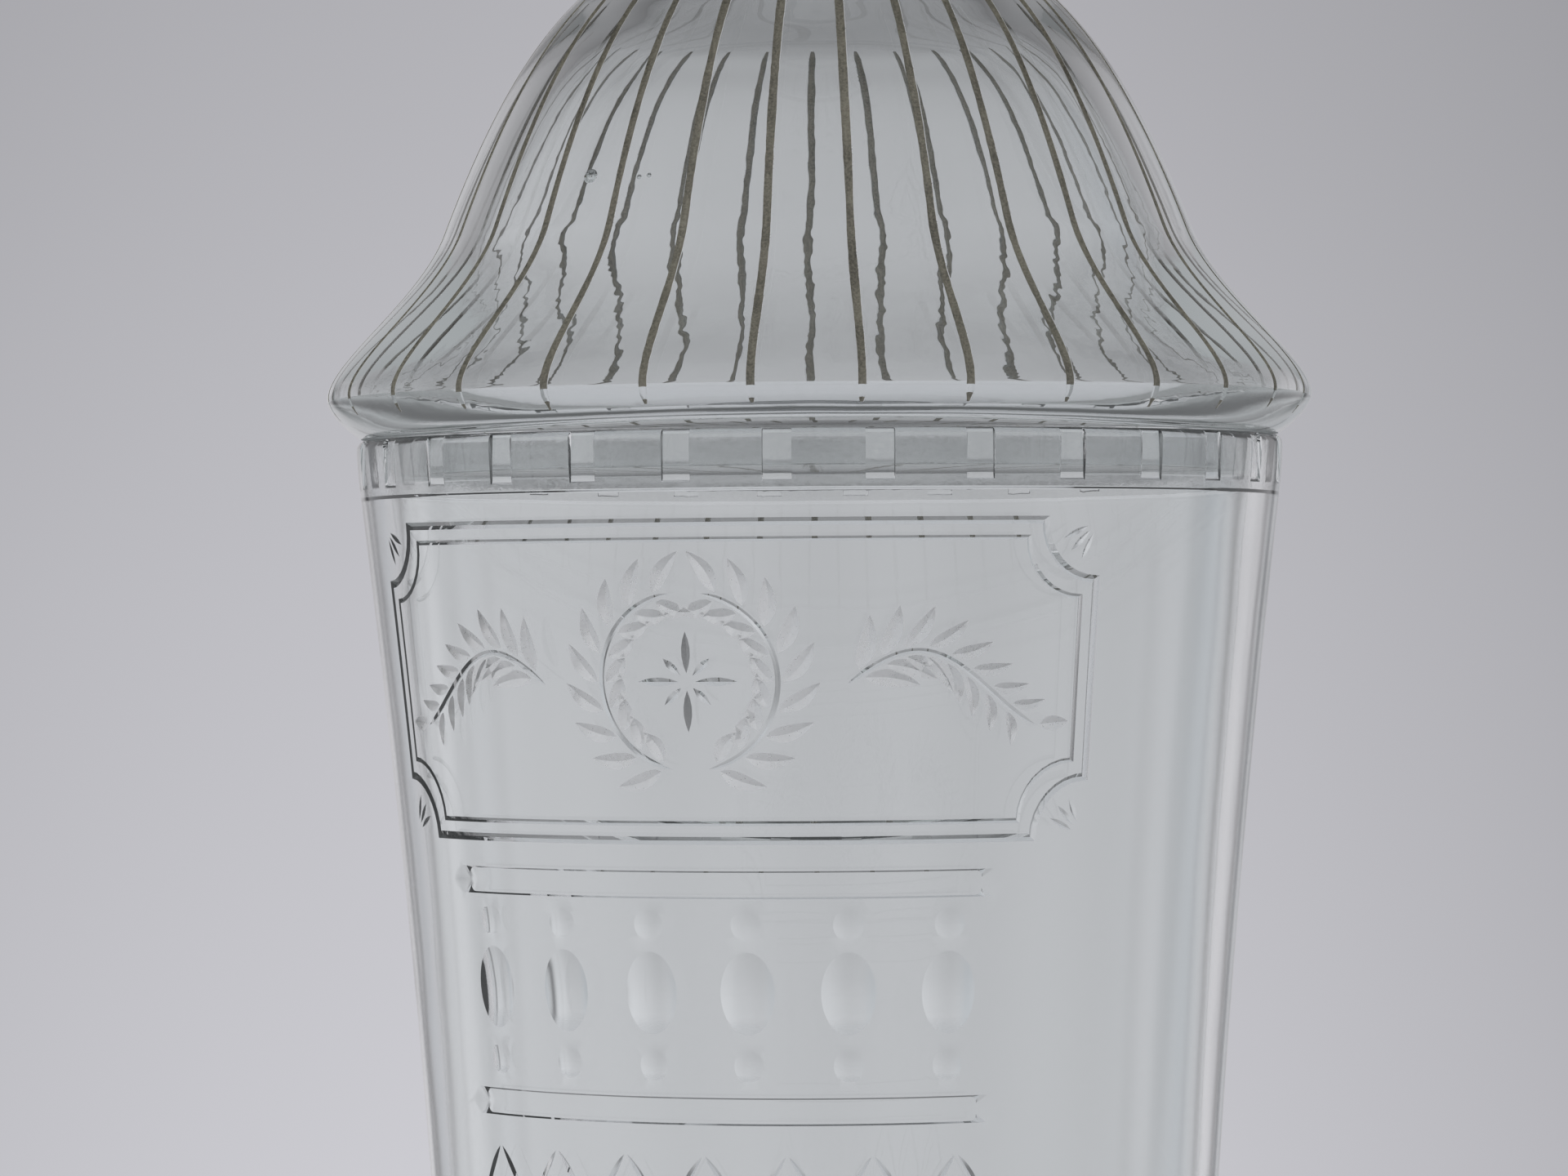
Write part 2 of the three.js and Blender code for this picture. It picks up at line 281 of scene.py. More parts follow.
class Skin:
    """A closed surface, put together from rings of points"""

    def __init__(self):
        self.points = []
        self.faces = []
        self.finishes = []
        self.last = None

    def ring(self, angles, radii, heights):
        """Adds points round the axis"""
        angles = np.asarray(angles, float)
        radii = np.broadcast_to(radii, angles.shape)
        heights = np.broadcast_to(heights, angles.shape)
        start = len(self.points)
        self.points.extend(zip(radii * np.sin(angles), -radii * np.cos(angles), heights))
        return np.arange(start, start + len(angles)), angles

    def pole(self, height):
        self.points.append((0.0, 0.0, height))
        return len(self.points) - 1

    def add(self, face, finish):
        self.faces.append(tuple(int(i) for i in face))
        self.finishes.append(finish)

    def grow(self, angles, radii, heights, finish=CLEAR, leave=None):
        """Adds a ring and joins it to the one before, if there is one"""
        before, self.last = self.last, self.ring(angles, radii, heights)
        if before is not None:
            self.join(before, self.last, finish, leave)
        return self.last

    def turn(self, angles, outline, lift=0.0, finish=CLEAR):
        """Adds a ring for each radius and height of an outline"""
        for radius, height in outline:
            self.grow(angles, radius, lift + height, finish)

    def join(self, low, high, finish=CLEAR, leave=None):
        """Fills the strip between two rings; finish is one value or one for each column"""
        (a, a_angles), (b, b_angles) = low, high
        if len(a) != len(b):
            self.zip(low, high, finish)
            return
        columns = np.broadcast_to(finish, (len(a),))
        for j in range(len(a)):
            k = (j + 1) % len(a)
            if leave is None or not leave[j]:
                self.add((a[j], a[k], b[k], b[j]), int(columns[j]))

    def zip(self, low, high, finish):
        """Fills the strip between rings of different counts, in order of angle"""
        (a, a_angles), (b, b_angles) = low, high
        a_next = np.append(a_angles[1:], a_angles[0] + TURN)
        b_next = np.append(b_angles[1:], b_angles[0] + TURN)
        i = j = 0
        while i < len(a) or j < len(b):
            here, there = a[i % len(a)], b[j % len(b)]
            if j >= len(b) or (i < len(a) and a_next[i] <= b_next[j]):
                self.add((here, a[(i + 1) % len(a)], there), finish)
                i += 1
            else:
                self.add((here, b[(j + 1) % len(b)], there), finish)
                j += 1

    def cap(self, ring, pole, finish=CLEAR):
        ids = ring[0]
        for j in range(len(ids)):
            self.add((ids[j], ids[(j + 1) % len(ids)], pole), finish)


def even_columns(count):
    return np.arange(count) * TURN / count


# Columns round the walls, and round the base and the knop
WALL_COLUMNS, FINE_COLUMNS = even_columns(240), even_columns(120)


def unevenness(point, seed, waves):
    """Smooth hand-made unevenness at a point; waves is a list of (height, length)"""
    total = 0.0
    for index, (height, length) in enumerate(waves):
        place = Vector(point) / length + Vector((seed * 7.3, index * 11.1, seed * 3.7))
        total += height * noise.noise(place)
    return total


# Engraving

class Engraving:
    """Cuts in the outer wall, drawn flat: arc length across and height up, in millimetres"""

    def __init__(self):
        self.points = []
        self.depths = []
        self.edges = []
        self.loops = []
        self.finishes = []
        self.keep_out = []

    def put(self, points, depths):
        start = len(self.points)
        points = np.asarray(points, float)
        self.points.extend(map(tuple, points))
        self.depths.extend(np.broadcast_to(depths, (len(points),)).tolist())
        return list(range(start, start + len(points)))

    def chain(self, ids, closed=False):
        self.edges.extend(zip(ids[:-1], ids[1:]))
        if closed:
            self.edges.append((ids[-1], ids[0]))

    def shape(self, ids, finish):
        self.loops.append(ids)
        self.finishes.append(finish)
        self.keep_out.append(np.array([self.points[i] for i in ids]))

    def blade(self, spine, side, depths, finish):
        """A cut that is deepest along its spine and pointed at both ends"""
        ids = self.put(spine, depths)
        left = self.put((spine + side)[1:-1], 0)
        right = self.put((spine - side)[1:-1], 0)
        self.chain(ids)
        self.shape([ids[0], *right, ids[-1], *left[::-1]], finish)

    def line(self, path, width, depth, taper=3.0):
        """A mitre cut along a path, with its ends drawn out to points"""
        path = resample(path)
        travel = travel_along(path)
        room = np.minimum(travel, travel[-1] - travel)
        share = np.clip(room / min(taper, travel[-1] / 2), 0, 1) ** 0.6
        side = normals_of(path) * (width / 2 * share)[:, None]
        self.blade(path, side, depth * share, CLEAR)

    def closed_line(self, path, width, depth):
        """A mitre cut round a closed path"""
        path = resample(np.vstack([path, path[:1]]))[:-1]
        side = normals_of(path, closed=True) * width / 2
        for points, deep in ((path, depth), (path + side, 0), (path - side, 0)):
            self.chain(self.put(points, deep), closed=True)
        for here, there in zip(path, np.roll(path, -1, axis=0)):
            along = (there - here) / max(np.linalg.norm(there - here), 1e-6)
            across = np.array([-along[1], along[0]]) * (width / 2 + 0.2)
            self.keep_out.append(np.array([here - across, there - across, there + across, here + across]))

    def hollow(self, centre, half_width, half_height, depth, steps=40):
        """A round or oval wheel cut"""
        angles = even_columns(steps)
        unit = np.column_stack([np.cos(angles), np.sin(angles)]) * (half_width, half_height)
        outline = None
        for share in (1.0, 0.86, 0.68, 0.46, 0.22):
            ids = self.put(np.asarray(centre) + unit * share, depth * (1 - share ** 2))
            self.chain(ids, closed=True)
            outline = outline or ids
        self.put([centre], depth)
        self.shape(outline, CLEAR)

    def leaf(self, base, tip, width, depth, bend=0.0):
        """A pointed leaf with a deeper rib down its middle"""
        base, tip = np.asarray(base, float), np.asarray(tip, float)
        along = tip - base
        across = np.array([-along[1], along[0]]) / np.linalg.norm(along)
        t = np.linspace(0, 1, 11)
        middle = base + along * t[:, None] + across * (bend * np.sin(math.pi * t))[:, None]
        half = (width / 2 * np.sin(math.pi * t ** 0.8) ** 0.85)[:, None]
        self.blade(middle, across * half, depth * np.sin(math.pi * t) ** 0.6, MATT)

    def ledge(self, left, right, low, high, depth):
        """A long flat cut with steep sides that runs out at its ends"""
        corner, slope, run_out = 1.0, 0.24, 4.0
        outlines = []
        for side, end, deep in ((0.0, 0.0, 0.0), (slope, run_out, depth)):
            near, far = left + end + corner, right - end - corner
            foot, head = low + side + corner, high - side - corner
            corners = enumerate(((far, head), (near, head), (near, foot), (far, foot)))
            path = np.vstack([arc(centre, corner, 90 * k, 90 * k + 90, 4) for k, centre in corners])
            path = resample(np.vstack([path, path[:1]]))[:-1]
            ids = self.put(path, deep)
            self.chain(ids, closed=True)
            outlines.append(ids)
        across = np.arange(left + run_out + 2, right - run_out - 2, 1.5)
        self.put(np.column_stack([across, np.full(len(across), (low + high) / 2)]), depth)
        self.shape(outlines[0], CLEAR)


def resample(path, step=1.3):
    """The same path with points no further apart than step"""
    path = np.asarray(path, float)
    points = [path[0]]
    for here, there in zip(path[:-1], path[1:]):
        count = max(1, math.ceil(np.linalg.norm(there - here) / step))
        for i in range(1, count + 1):
            points.append(here + (there - here) * i / count)
    return np.array(points)


def normals_of(path, closed=False):
    """Unit normals to the left of a path, with mitred corners"""
    if closed:
        before, after = np.roll(path, 1, axis=0), np.roll(path, -1, axis=0)
    else:
        before = np.vstack([path[:1] * 2 - path[1:2], path[:-1]])
        after = np.vstack([path[1:], path[-1:] * 2 - path[-2:-1]])
    first, second = path - before, after - path
    first /= np.linalg.norm(first, axis=1)[:, None]
    second /= np.linalg.norm(second, axis=1)[:, None]
    along = first + second
    along /= np.linalg.norm(along, axis=1)[:, None]
    stretch = 1 / np.maximum((along * second).sum(1), 0.5)
    return np.column_stack([-along[:, 1], along[:, 0]]) * stretch[:, None]


def inside(points, loop):
    """Which points lie inside a closed loop"""
    x, y = points[:, 0], points[:, 1]
    hit = np.zeros(len(points), bool)
    for (x0, y0), (x1, y1) in zip(loop, np.roll(loop, -1, axis=0)):
        crosses = (y0 > y) != (y1 > y)
        rise = y1 - y0 if y1 != y0 else 1e-9
        hit ^= crosses & (x < (x1 - x0) * (y - y0) / rise + x0)
    return hit


# Flat radius of the drawing and one degree of it, and the panel that carries it: its sides in
# degrees, and the heights of its rows
DRAWN_RADIUS = 68.0
DEGREE = DRAWN_RADIUS * math.radians(1)
PANEL_SIDES = (-72.0, 39.0)
WALL_ROWS = np.linspace(10.0, 204.0, 51)


def cartouche(half_width, low, high, corner):
    """A rectangle whose corners curve inwards"""
    starts = ((half_width, high, 270), (-half_width, high, 0), (-half_width, low, 90), (half_width, low, 180))
    return np.vstack([arc((x, y), corner, start, start - 90, 8) for x, y, start in starts])


def draw_wreath(cuts, centre, radius, depth):
    """Two laurel branches round a star of mitre cuts"""
    for side in (-1, 1):
        angles = np.radians(np.linspace(-78, 80, 30))
        stem = centre + radius * np.column_stack([side * np.cos(angles), np.sin(angles)])
        cuts.line(stem, 0.8, 0.28)
        for angle in np.radians(np.linspace(-72, 70, 9)):
            out = np.array([side * math.cos(angle), math.sin(angle)])
            up = np.array([-side * math.sin(angle), math.cos(angle)])
            for way, length in ((1, 7.4), (-1, 5.4)):
                base = centre + radius * out + way * 0.75 * out + up * 0.2
                tip = base + length * (up * 0.80 + way * out * 0.60)
                cuts.leaf(base, tip, 2.5, depth, bend=-0.5 * side * way)
    for k in range(8):
        way = np.array([math.sin(k * math.pi / 4), math.cos(k * math.pi / 4)])
        reach = 7.6 if k % 2 == 0 else 5.0
        cuts.line([centre + way * 1.3, centre + way * reach], 1.3, 0.45, taper=2.6)


def draw_spray(cuts, start, side, depth):
    """A leafy spray that runs outwards in an S"""
    t = np.linspace(0, 1, 28)
    stem = start + np.column_stack([side * 29 * t, 5.5 * np.sin(math.pi * 1.35 * t) - 1.5 * t])
    cuts.line(stem, 0.8, 0.28)
    normal = normals_of(stem)
    for i in range(2, 25, 3):
        along = np.array([normal[i, 1], -normal[i, 0]])
        size = 1 - 0.45 * t[i]
        for way in (-1, 1):
            base = stem[i] + way * normal[i] * 0.75
            tip = base + size * (8.6 * 0.72 * along + way * 8.6 * 0.69 * normal[i])
            cuts.leaf(base, tip, 2.7 * size, depth, bend=-0.5 * way)
    tip = stem[-1] + np.array([side * 5.6, 0.4])
    cuts.leaf(stem[-1] + (tip - stem[-1]) * 0.14, tip, 2.2, depth)


def draw_front(sizes, top):
    """The whole engraved front, measured from its own middle line"""
    cuts = Engraving()
    line, deep, leaf = mm(sizes.line_width), mm(sizes.line_depth), mm(sizes.leaf_depth)

    cuts.closed_line(cartouche(52 * DEGREE, top - 62, top - 14, 9), line, deep)
    cuts.closed_line(cartouche(52 * DEGREE - 2.6, top - 59.4, top - 16.6, 9), line * 0.6, deep * 0.6)
    middle = np.array([0.0, top - 38])
    draw_wreath(cuts, middle, 13.5, leaf)
    for side in (-1, 1):
        draw_spray(cuts, middle + (side * 23.5, -0.5), side, leaf)
        for up in (-1, 1):
            corner = np.array([side * 52 * DEGREE, top - 38 + up * 24])
            for turn in (25, 45, 65):
                way = -np.array([side * math.cos(math.radians(turn)), up * math.sin(math.radians(turn))])
                cuts.line([corner + way * 2.2, corner + way * 6.6], 0.9, 0.3, taper=2)

    oval, bead = mm(sizes.oval_depth), mm(sizes.bead_depth)
    for low, high in ((70.8, 66.6), (105.2, 101.0)):
        cuts.ledge(-41 * DEGREE, 41 * DEGREE, top - low, top - high, 0.38)
    for k in range(6):
        across = (k - 2.5) * 13.3 * DEGREE
        cuts.hollow((across, top - 85.2), 4.3, 6.3, oval)
        for down in (74.8, 96.2):
            cuts.hollow((across, top - down), 2.4, 2.5, bead, steps=28)

    for k in range(-3, 4):
        across = k * 11.6 * DEGREE
        left, right, foot, spring, tip = across - 5.8, across + 5.8, top - 190, top - 121, top - 110
        for side, edge in ((-1, left), (1, right)):
            rise = np.linspace(0, 1, 9)
            curve = np.column_stack([edge - side * 5.5 * rise ** 1.6, spring + (tip - spring) * rise])
            cuts.line(np.vstack([[edge, foot], curve]), 1.0, 0.35)
        cuts.hollow((across, top - 150), 2.5, 20, 0.4, steps=56)
        for down in (122, 178):
            cuts.hollow((across, top - down), 1.7, 2.2, 0.25, steps=24)
    return cuts


def add_panel(skin, form, sizes):
    """Triangulates the drawing and lays it on the outer wall"""
    cuts = draw_front(sizes, form.height)
    shift = math.degrees(sizes.centre)
    columns = np.arange(PANEL_SIDES[0], PANEL_SIDES[1] + 0.1, 360 / len(WALL_COLUMNS))
    grid = np.array([((angle - shift) * DEGREE, z) for z in WALL_ROWS for angle in columns])
    border = np.isclose(grid[:, 1], WALL_ROWS[0]) | np.isclose(grid[:, 1], WALL_ROWS[-1])
    for side in PANEL_SIDES:
        border |= np.isclose(grid[:, 0], (side - shift) * DEGREE)

    tree = kdtree.KDTree(len(cuts.points))
    for i, (x, y) in enumerate(cuts.points):
        tree.insert((x, y, 0), i)
    tree.balance()
    near = np.array([tree.find((x, y, 0))[2] < 0.7 for x, y in grid])
    taken = np.zeros(len(grid), bool)
    for loop in cuts.keep_out:
        low, high = loop.min(0), loop.max(0)
        close = np.all((grid >= low) & (grid <= high), axis=1)
        if close.any():
            taken[close] |= inside(grid[close], loop)
    grid = grid[border | ~(near | taken)]

    points = [Vector(p) for p in cuts.points] + [Vector(p) for p in grid]
    depths = cuts.depths + [0.0] * len(grid)
    places, _, faces, sources, _, owners = delaunay_2d_cdt(points, cuts.edges, cuts.loops, 0, 1e-4)
    start = len(skin.points)
    for place, source in zip(places, sources):
        depth = max((depths[i] for i in source), default=0.0)
        radius = form.outer(place.y) - depth
        skin.points.append(on_round(radius, place.x / DRAWN_RADIUS + sizes.centre, place.y))
    for face, owner in zip(faces, owners):
        finish = max((cuts.finishes[i] for i in owner), default=CLEAR)
        skin.add([start + i for i in face], finish)


# Body

def notch_share(form, sizes, z):
    """How much of its full depth a notch has at a height: deepest at the rim, round at its foot"""
    depth = mm(sizes.notch_depth)
    length = mm(sizes.notch_length)
    above = z - form.height + length
    below = np.clip(1 - above / depth, 0, 1)
    return np.where(above < 0, 0.0, np.sqrt(1 - below ** 2) * (0.4 + 0.6 * above / length))


def turn_base(skin, form):
    """The underside: a shallow hollow, the ground ring round it and the heel"""
    hollow_radius = (form.pontil_radius ** 2 + form.pontil_depth ** 2) / (2 * form.pontil_depth)
    pole = skin.pole(form.pontil_depth)
    for index, radius in enumerate(np.linspace(1.5, form.pontil_radius, 10)):
        rise = math.sqrt(hollow_radius ** 2 - radius ** 2) - hollow_radius + form.pontil_depth
        here = skin.grow(FINE_COLUMNS, radius, max(rise, 0))
        if index == 0:
            skin.cap(here, pole)
    skin.turn(FINE_COLUMNS, [(radius, 0) for radius in (15.6, 22, 29, 36, 43, 50)], finish=GROUND)
    heel = (form.outer(form.heel) - form.heel, form.heel)
    for radius, z in arc(heel, form.heel, -90, 0, 12):
        skin.grow(WALL_COLUMNS, radius, z, GROUND if z == 0 else CLEAR)


def turn_wall(skin, form, engraving):
    """The outer wall, with the engraved panel let into it"""
    columns = np.degrees(WALL_COLUMNS)
    carved = (columns < PANEL_SIDES[1] - 0.1) | (columns > 359.9 + PANEL_SIDES[0])
    skin.turn(WALL_COLUMNS, [(form.outer(z), z) for z in (6.6, 8.3)])
    for index, z in enumerate(WALL_ROWS):
        skin.grow(WALL_COLUMNS, form.outer(z), z, leave=carved if index else None)
    add_panel(skin, form, engraving)


def turn_rim(skin, form, sizes):
    """The notched band and the rounded lip"""
    top = form.height
    half = mm(sizes.notch_width) / 2
    pitch = TURN * form.rim / sizes.notches
    # Across a notch with its two steep sides, then over the land up to the next one
    side = 0.07
    offsets = np.concatenate([[-half, -half + side, -half / 2, 0, half / 2, half - side, half],
                              np.linspace(half, pitch - half, form.land_columns + 2)[1:-1]])
    middles = sizes.notch_turn + even_columns(sizes.notches)
    angles = (middles[:, None] + offsets / form.rim).ravel() % TURN
    order = np.argsort(angles)
    in_notch = (np.abs(np.tile(offsets, sizes.notches)) < half - 0.01)[order]
    depth = mm(sizes.notch_depth)
    foot = top - mm(sizes.notch_length)
    lip_foot = top - form.lip
    # The rings lie close where the notches run out round at their foot, then go up to the lip
    heights = [top - 10, top - 8.6, foot - 0.25, foot, foot + 0.05]
    heights += [foot + depth * (1 - math.cos(math.radians(a))) for a in (25, 40, 55, 70, 90)]
    heights += list(np.linspace(foot + depth + 1.1, lip_foot, 5))
    outline = [(form.outer(z), z) for z in heights]
    outline += [*arc((form.outer(lip_foot) - form.lip, lip_foot), form.lip, 0, 90, 12)[1:]]
    for radius, z in outline:
        carved_depth = depth * float(notch_share(form, sizes, z))
        radii = np.where(in_notch, np.minimum(radius, form.outer(z) - carved_depth), radius)
        skin.grow(angles[order], radii, z)


def turn_inner_wall(skin, form):
    """The ground edge of the rim, the mouth, the blown inner wall and the floor"""
    top = form.height
    lip_centre = (form.inner(top - form.inner_lip) + form.inner_lip, top - form.inner_lip)
    skin.grow(WALL_COLUMNS, lip_centre[0], top, GROUND)
    skin.turn(WALL_COLUMNS, arc(lip_centre, form.inner_lip, 90, 180, 8)[1:])
    fillet_top = form.floor + form.fillet
    fitted = top - form.fitted_height
    levels = [*np.linspace(top - 2.2, fitted, 5), *(fitted - np.array([0.12, 0.25, 0.38, 0.5])),
              *np.linspace(fitted - 2, fillet_top, 76)]
    for z in levels:
        calm = float(smoothstep(top - 1, top - 9, z))
        radii = [form.inner(z) - form.step(z)
                 + calm * unevenness(on_round(form.base, a, z), 1, form.inner_waves) for a in WALL_COLUMNS]
        skin.grow(WALL_COLUMNS, radii, z, FITTED if z > fitted - 0.1 else CLEAR)
    fillet_centre = (form.inner(fillet_top) - form.fillet, fillet_top)
    skin.turn(WALL_COLUMNS, arc(fillet_centre, form.fillet, 0, -90, 18)[1:])
    skin.turn(FINE_COLUMNS, [(radius, form.floor) for radius in (30, 22, 14, 7)])
    skin.cap(skin.last, skin.pole(form.floor))


def build_body(sizes, engraving):
    form = BodyForm(sizes)
    skin = Skin()
    turn_base(skin, form)
    turn_wall(skin, form, engraving)
    turn_rim(skin, form, sizes)
    turn_inner_wall(skin, form)
    return skin


# Cover

def lean(degrees, length):
    return np.array([-length * math.sin(math.radians(degrees)), length * math.cos(math.radians(degrees))])


class CoverForm:
    """The turned form of the cover, in millimetres above its seat"""

    clearance = 0.9
    flange_wall = 3.4
    flange_depth = 7.2
    flange_edge = 1.5
    shelf = 5.8
    shelf_edge = 5.0
    shelf_round = 1.8
    bulge_drop = 2.5
    waist_swell = 2.4
    crown_swell = 28.0
    crown_power = 4.2
    turn_share = 0.39
    turn_blend = 0.14
    crown_wall = 10.2
    flute_start = 37.0
    # How far a flute takes to reach its full depth from its tip and from its start
    tip_run, start_run = 1.6, 4.5
    # It never gets narrower than this share of its width
    least_width = 0.35
    # Flutes take their dark finish, residue with painted shade, and a painted edge glint above the bulge, and
    # under it only this near their tips
    matt_tip = 1.3
    # How far hand-set flutes vary: where they end, where they lie and how wide they are
    tip_scatter, stray, waver, chatter = 0.9, 0.16, 0.14, 0.12
    # Width of the painted glint beside each flute, a strip of the pale matt finish
    edge_glint = 0.12
    # The lands between flutes are round at the seat and the crown, and grow flat over this length
    calm_run = 12
    neck = 7.4
    # Unevenness of the blown inner wall: its height as a share of the ripple, what is added low
    # down, and how long the waves are
    inner_waves = ((0.33, 0.9, 30), (0.1, 1.0, 13), (0.1, 0.3, 5))

    def __init__(self, body, sizes):
        self.lift = mm(SEAT_PLANE)
        self.wall = mm(sizes.wall)
        self.flange = body.inner(body.height - body.inner_lip) - self.clearance
        self.bore_radius = self.flange - self.flange_wall
        self.seat = body.rim - 1.2
        self.bulge = np.array([body.rim + 4.2, 6.5])
        self.waist = np.array([body.rim - 14.5, 32.4])
        self.crown = np.array([9.0, 86.3])
        self.ball = mm(sizes.ball_radius)
        self.ball_centre = mm(OVERALL_TOP - SEAT_PLANE) - self.ball
        self.under = [(self.seat, 0), (self.seat + 2, 1.2), self.bulge - (0, self.bulge_drop), self.bulge]
        self.over = [self.bulge, self.bulge + (0, 5.5), self.waist - lean(21, 11), self.waist]
        self.dome = [self.waist, self.waist + lean(21, 41.5), self.crown - lean(70, 26), self.crown]

    def bulge_wall(self, shares):
        """Thickness at each share of the way from the bulge to the waist"""
        return self.wall + self.waist_swell * smoothstep(0.1, 1, shares)

    def dome_wall(self, shares):
        """Thickness at each share of the way from the waist to the crown: it swells, then eases off"""
        swell, turn = (self.wall + self.waist_swell + self.crown_swell * share ** self.crown_power
                       for share in (shares, self.turn_share))
        ease = turn + (self.crown_wall - turn) * smoothstep(self.turn_share, 1, shares)
        past = smoothstep(self.turn_share, self.turn_share + self.turn_blend, shares)
        return swell + (ease - swell) * past


def turn_flange(skin, form):
    """The outside of the flange that drops into the mouth; returns its innermost ring"""
    edge, foot = form.flange_edge, -form.flange_depth
    first = skin.grow(WALL_COLUMNS, form.bore_radius + edge, form.lift + foot)
    skin.turn(WALL_COLUMNS, arc((form.flange - edge, foot + edge), edge, -90, 0, 8), form.lift)
    skin.turn(WALL_COLUMNS, [(form.flange, z) for z in (-4.6, -2.4, -0.9)], form.lift, FITTED)
    skin.turn(WALL_COLUMNS, arc((form.flange + 0.5, -0.5), 0.5, 180, 90, 4), form.lift)
    return first


def turn_flutes(skin, form, sizes, count):
    """The seat and the outside, cut with hand-set flutes that are flat between"""
    curves = [bezier(*curve) for curve in ((form.under, 12), (form.over, 34), (form.dome, 74))]
    stations, normals = (np.vstack([curves[0][i], *(curve[i][1:] for curve in curves[1:])]) for i in (0, 1))
    travel = travel_along(stations)
    low = np.interp(mm(sizes.flute_tip), stations[:, 1], travel)
    high = travel[np.nonzero(stations[:, 0] >= form.flute_start)[0][-1]]
    across = np.array([-1, -0.68, -0.34, 0, 0.34, 0.68, 1])
    land = 7
    across_land = np.linspace(-1, 1, land + 2)[1:-1]
    middles = sizes.flute_turn + even_columns(count)
    middles = middles - sizes.flute_drift * (1 - np.cos(middles)) / 2
    nexts = np.append(middles[1:], middles[0] + TURN)
    order = None
    for place, normal, reach in zip(stations, normals, travel):
        angles, depths, marks = [], [], []
        from_end = travel[-1] - reach
        from_ends = max(0.0, min(reach, from_end))
        calm = float(smoothstep(0, form.calm_run, reach) * smoothstep(0, form.calm_run, from_end))
        for k, middle in enumerate(middles):
            above_tip = reach - (low + form.tip_scatter * noise.noise(Vector((k * 3.1, 0, 5))))
            room = min(above_tip / form.tip_run, (high - reach) / form.start_run)
            share = min(1.0, room) ** 0.5 if room > 0 else 0.0
            wide = mm(sizes.flute_width) / 2 * (
                1 + form.waver * noise.noise(Vector((k * 5.7, reach / 9, 1)))
                + form.chatter * noise.noise(Vector((k * 5.7, reach / 1.6, 4))))
            stray = form.stray * noise.noise(Vector((k * 2.3, reach / 24, 2))) * min(1.0, from_ends / 10)
            width = wide * max(share, form.least_width)
            left, right = (stray - width) / place[0], (stray + width) / place[0]
            angles.extend(middle + (left + right) / 2 + (right - left) / 2 * across)
            depths.extend(share * mm(sizes.flute_depth) * (1 - across ** 2))
            # A narrow strip of the pale matt finish beside the cut, a painted glint on its edge, then the
            # land up to the next one
            glint = form.edge_glint / place[0]
            gap = nexts[k] - middle - (right - left)
            angles.extend(middle + right + glint + (gap - glint) * np.arange(land + 1) / (land + 1))
            sag = place[0] * (1 - math.cos(gap / 2)) * sizes.flatness
            depths.extend([0.0, *(sag * calm * (1 - across_land ** 2))])
            # Where this holds, a flute gets its dark finish, residue with painted shade, and the painted edge
            # glint; elsewhere it stays clear
            residue_shade_glint = share > 0 and (place[1] > form.bulge[1] - 0.3 or above_tip < form.matt_tip)
            marks.extend([FLUTE if residue_shade_glint else CLEAR] * 6 + [MATT if residue_shade_glint else CLEAR] + [CLEAR] * (land + 1))
        if order is None:
            order = np.argsort(np.array(angles) % TURN)
        angles, depths = np.array(angles)[order], np.array(depths)[order]
        angles = np.where(angles < angles[0] - 1e-9, angles + TURN, angles)
        here = skin.ring(angles, place[0] - normal[0] * depths, form.lift + place[1] - normal[1] * depths)
        if reach == 0:
            skin.zip(skin.last, rewind(here), GROUND)
        else:
            skin.join(skin.last, here, np.array(marks)[order])
        skin.last = here


def turn_knop(skin, form):
    """The collar and the ball, from the crown up"""
    neck_height = form.ball_centre - math.sqrt(form.ball ** 2 - form.neck ** 2)
    waist, _ = bezier([(10.5, 90.6), (6.6, 90.6), (6.2, 92.6), (form.neck, neck_height)], 16)
    start = math.degrees(math.asin(form.neck / form.ball)) - 90
    outline = [[(8.75, 86.45), (9.1, 86.6)], arc((10.5, 88.6), 2.0, -90, 90, 16), waist[1:],
               arc((0, form.ball_centre), form.ball, start, 86, 44)[1:]]
    skin.last = rewind(skin.last)
    skin.turn(FINE_COLUMNS, np.vstack(outline), form.lift)
    skin.cap(skin.last, skin.pole(form.lift + form.ball_centre + form.ball))


def turn_cavity(skin, form, ripple):
    """The flange's bore, the shelf above it and the blown inner wall up to the crown"""
    edge, bore, wide = form.flange_edge, form.bore_radius, form.bulge[0] - form.wall
    shelf = [(bore, form.shelf - form.shelf_round), (bore, form.shelf), (wide - form.shelf_edge, form.shelf),
             (wide, form.bulge[1])]
    inner = [arc((bore + edge, edge - form.flange_depth), edge, 270, 180, 8)[1:],
             [(bore, z) for z in (-5, -3, -1, 1.2, 2.8)], bezier(shelf, 14)[0]]
    for corners, steps, wall_at in ((form.over, 34, form.bulge_wall), (form.dome, 56, form.dome_wall)):
        points, outward = bezier(corners, steps)
        inner.append((points - outward * wall_at(np.linspace(0, 1, steps + 1))[:, None])[1:])
    inner = np.vstack(inner)
    for radius, z in inner:
        calm = float(smoothstep(0.5, 8, z))
        low_down = float(1 - smoothstep(22, 40, z))
        waves = [(ripple * (height + more * low_down), length) for height, more, length in form.inner_waves]
        columns = WALL_COLUMNS if radius > 12 else FINE_COLUMNS
        radii = [radius + calm * unevenness(on_round(radius, a, z), 2, waves) for a in columns]
        skin.grow(columns, radii, form.lift + z, BLOWN if z > 6 else CLEAR)
    skin.cap(skin.last, skin.pole(form.lift + inner[-1][1]))


def build_cover(sizes, vase_sizes):
    form = CoverForm(BodyForm(vase_sizes), sizes)
    skin = Skin()
    innermost = turn_flange(skin, form)
    turn_flutes(skin, form, sizes, vase_sizes.notches)
    turn_knop(skin, form)
    skin.last = innermost
    turn_cavity(skin, form, mm(sizes.ripple))
    return skin


